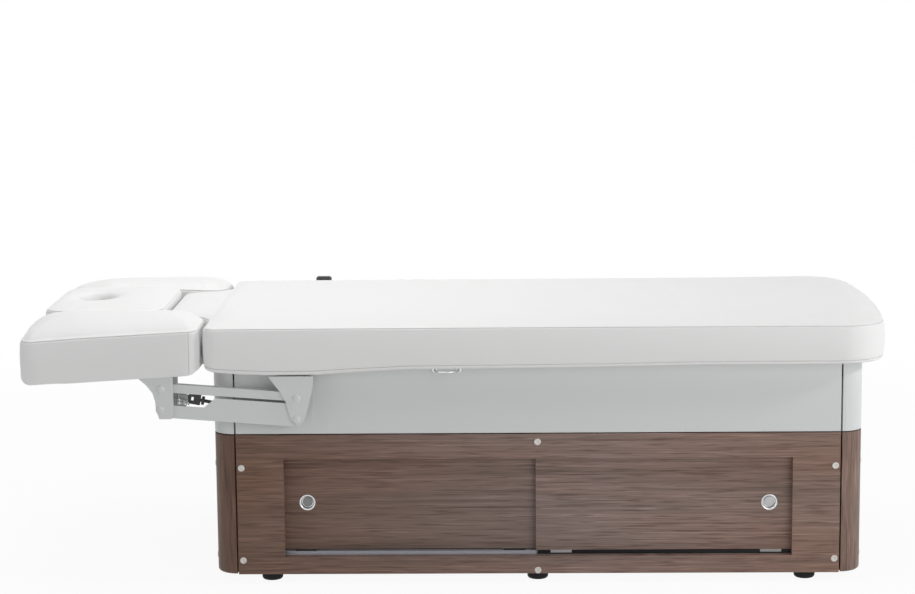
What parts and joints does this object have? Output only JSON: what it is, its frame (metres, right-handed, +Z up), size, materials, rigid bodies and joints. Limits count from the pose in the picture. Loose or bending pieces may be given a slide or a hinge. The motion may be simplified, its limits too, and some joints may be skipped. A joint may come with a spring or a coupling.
{
  "type": "spa bed with cabinet base",
  "caption": "Height-adjustable spa bed: a white mattress with headrest and swing-down arm pads on a wooden storage cabinet with sliding doors.",
  "frame": {"origin": "middle of the bed's outer box at floor level", "axes": "+X from the head end to the foot end, +Y from the front with the sliding doors to the rear, +Z up"},
  "size_m": [2.026, 0.78, 0.64],
  "materials": {
    "white_leather": "soft smooth upholstery cover",
    "wood_laminate": "grey-brown wood grain",
    "post_laminate": "grey-brown wood grain, upright",
    "white_board": "white faced board",
    "raw_wood": "plain wood",
    "white_steel": "satin white paint",
    "grey_steel": "satin grey paint",
    "column_metal": "anodised",
    "track_metal": "satin",
    "bright_steel": "ground",
    "chrome_trim": "polished",
    "black_rubber": "matt",
    "black_metal": "satin black",
    "cream_cap": "smooth",
    "dark_plastic": "fine texture",
    "white_plastic": "smooth",
    "key_grey": "smooth"
  },
  "bodies": {
    "base": {"base_frame": "grey_steel", "foot_pads": "black_rubber", "foot_studs": "bright_steel", "cabinet_floor": "white_board", "cabinet_front": "wood_laminate", "cabinet_rear": "wood_laminate", "cabinet_ends": "wood_laminate", "cabinet_posts": "post_laminate", "corner_battens": "raw_wood", "partitions": "white_board", "cabinet_top": "white_board", "door_tracks": "track_metal", "panel_screws": "cream_cap", "column_outers": "column_metal", "lift_actuators": "dark_plastic", "control_box": "dark_plastic", "mains_inlet": "dark_plastic", "fixed_sleeve": "white_steel"},
    "left_door": {"left_door": "wood_laminate", "left_pull": "chrome_trim", "left_glides": "white_plastic"},
    "right_door": {"right_door": "wood_laminate", "right_pull": "chrome_trim", "right_glides": "white_plastic"},
    "lift_stage": {"column_middles": "column_metal", "middle_sleeve": "white_steel"},
    "lying_top": {"column_inners": "column_metal", "lift_rods": "bright_steel", "top_rails": "grey_steel", "top_crossbars": "grey_steel", "mattress_board": "raw_wood", "collar_sides": "white_steel", "collar_ends": "white_steel", "collar_posts": "white_steel", "mattress": "white_leather", "wire_loop": "chrome_trim", "rod_sockets": "grey_steel", "near_bracket": "white_steel", "far_bracket": "white_steel", "handset_cradle": "dark_plastic", "hand_control": "dark_plastic"},
    "headrest_slide": {"headrest_rods": "bright_steel"},
    "headrest_pad": {"headrest_board": "raw_wood", "headrest": "white_leather"},
    "up_key": {"up_button": "key_grey"},
    "down_key": {"down_button": "key_grey"},
    "near_upper": {"near_upper_link": "white_steel"},
    "near_lower": {"near_lower_link": "white_steel"},
    "near_arm": {"near_carrier": "white_steel", "near_arm_pad": "white_leather"},
    "near_cylinder": {"near_strut_cylinder": "black_metal"},
    "near_rod": {"near_strut_rod": "black_metal"},
    "near_lever": {"near_release_lever": "black_metal"},
    "far_upper": {"far_upper_link": "white_steel"},
    "far_lower": {"far_lower_link": "white_steel"},
    "far_arm": {"far_carrier": "white_steel", "far_arm_pad": "white_leather"},
    "far_cylinder": {"far_strut_cylinder": "black_metal"},
    "far_rod": {"far_strut_rod": "black_metal"},
    "far_lever": {"far_release_lever": "black_metal"}
  },
  "joints": [
    {"name": "lift", "type": "slide", "parent": "base", "child": "lying_top", "axis": [0, 0, 1], "range_m": [0, 0.22]},
    {"name": "lift_stage_rise", "type": "slide", "parent": "base", "child": "lift_stage", "axis": [0, 0, 1], "range_m": [0, 0.1101]},
    {"name": "left_door_slide", "type": "slide", "parent": "base", "child": "left_door", "axis": [1, 0, 0], "range_m": [0, 0.585]},
    {"name": "right_door_slide", "type": "slide", "parent": "base", "child": "right_door", "axis": [-1, 0, 0], "range_m": [0, 0.585]},
    {"name": "headrest_pull_out", "type": "slide", "parent": "lying_top", "child": "headrest_slide", "axis": [-1, 0, 0], "range_m": [0, 0.1]},
    {"name": "headrest_tilt", "type": "hinge", "parent": "headrest_slide", "child": "headrest_pad", "pos_m": [-0.7183, -0.01505, 0.5281], "axis": [0, 1, 0], "range_deg": [-35, 0]},
    {"name": "up_key_press", "type": "slide", "parent": "lying_top", "child": "up_key", "axis": [0, -1, 0], "range_m": [0, 0.0015], "stiffness_N_per_m": 500, "springref_m": -0.0005},
    {"name": "down_key_press", "type": "slide", "parent": "lying_top", "child": "down_key", "axis": [0, -1, 0], "range_m": [0, 0.0015], "stiffness_N_per_m": 500, "springref_m": -0.0005},
    {"name": "near_arm_swing", "type": "hinge", "parent": "lying_top", "child": "near_upper", "pos_m": [-0.367, -0.37355, 0.452], "axis": [0, 1, 0], "range_deg": [-22, 0]},
    {"name": "near_lower_link_swing", "type": "hinge", "parent": "lying_top", "child": "near_lower", "pos_m": [-0.3685, -0.37355, 0.402], "axis": [0, 1, 0], "range_deg": [-22.2, 0.2]},
    {"name": "near_carrier_swing", "type": "hinge", "parent": "near_upper", "child": "near_arm", "pos_m": [-0.68311, -0.37355, 0.47577], "axis": [0, 1, 0], "range_deg": [-0.2, 22.2]},
    {"name": "near_strut_swing", "type": "hinge", "parent": "lying_top", "child": "near_cylinder", "pos_m": [-0.3685, -0.35955, 0.402], "axis": [0, 1, 0], "range_deg": [-23.84, 0.2]},
    {"name": "near_strut_slide", "type": "slide", "parent": "near_cylinder", "child": "near_rod", "axis": [-0.9819, 0, 0.1892], "range_m": [-0.013, 0.0002]},
    {"name": "near_lever_press", "type": "hinge", "parent": "near_rod", "child": "near_lever", "pos_m": [-0.63551, -0.36705, 0.43817], "axis": [0, 1, 0], "range_deg": [0, 8], "stiffness_Nm_per_rad": 0.6, "springref_deg": -2.86},
    {"name": "far_arm_swing", "type": "hinge", "parent": "lying_top", "child": "far_upper", "pos_m": [-0.367, 0.34345, 0.452], "axis": [0, 1, 0], "range_deg": [-22, 0]},
    {"name": "far_lower_link_swing", "type": "hinge", "parent": "lying_top", "child": "far_lower", "pos_m": [-0.3685, 0.34345, 0.402], "axis": [0, 1, 0], "range_deg": [-22.2, 0.2]},
    {"name": "far_carrier_swing", "type": "hinge", "parent": "far_upper", "child": "far_arm", "pos_m": [-0.68311, 0.34345, 0.47577], "axis": [0, 1, 0], "range_deg": [-0.2, 22.2]},
    {"name": "far_strut_swing", "type": "hinge", "parent": "lying_top", "child": "far_cylinder", "pos_m": [-0.3685, 0.32945, 0.402], "axis": [0, 1, 0], "range_deg": [-23.84, 0.2]},
    {"name": "far_strut_slide", "type": "slide", "parent": "far_cylinder", "child": "far_rod", "axis": [-0.9819, 0, 0.1892], "range_m": [-0.013, 0.0002]},
    {"name": "far_lever_press", "type": "hinge", "parent": "far_rod", "child": "far_lever", "pos_m": [-0.63551, 0.33695, 0.43817], "axis": [0, 1, 0], "range_deg": [0, 8], "stiffness_Nm_per_rad": 0.6, "springref_deg": -2.86}
  ],
  "couplings": [
    {"joint": "lift_stage_rise", "follows": "lift", "ratio": 0.5},
    {"joint": "near_carrier_swing", "follows": "near_arm_swing", "ratio": -1},
    {"joint": "near_lower_link_swing", "follows": "near_arm_swing", "ratio": 1},
    {"joint": "near_strut_swing", "follows": "near_arm_swing", "ratio": 1.07},
    {"joint": "near_strut_slide", "follows": "near_arm_swing", "m_per_rad": 0.03315},
    {"joint": "far_carrier_swing", "follows": "far_arm_swing", "ratio": -1},
    {"joint": "far_lower_link_swing", "follows": "far_arm_swing", "ratio": 1},
    {"joint": "far_strut_swing", "follows": "far_arm_swing", "ratio": 1.07},
    {"joint": "far_strut_slide", "follows": "far_arm_swing", "m_per_rad": 0.03315}
  ]
}
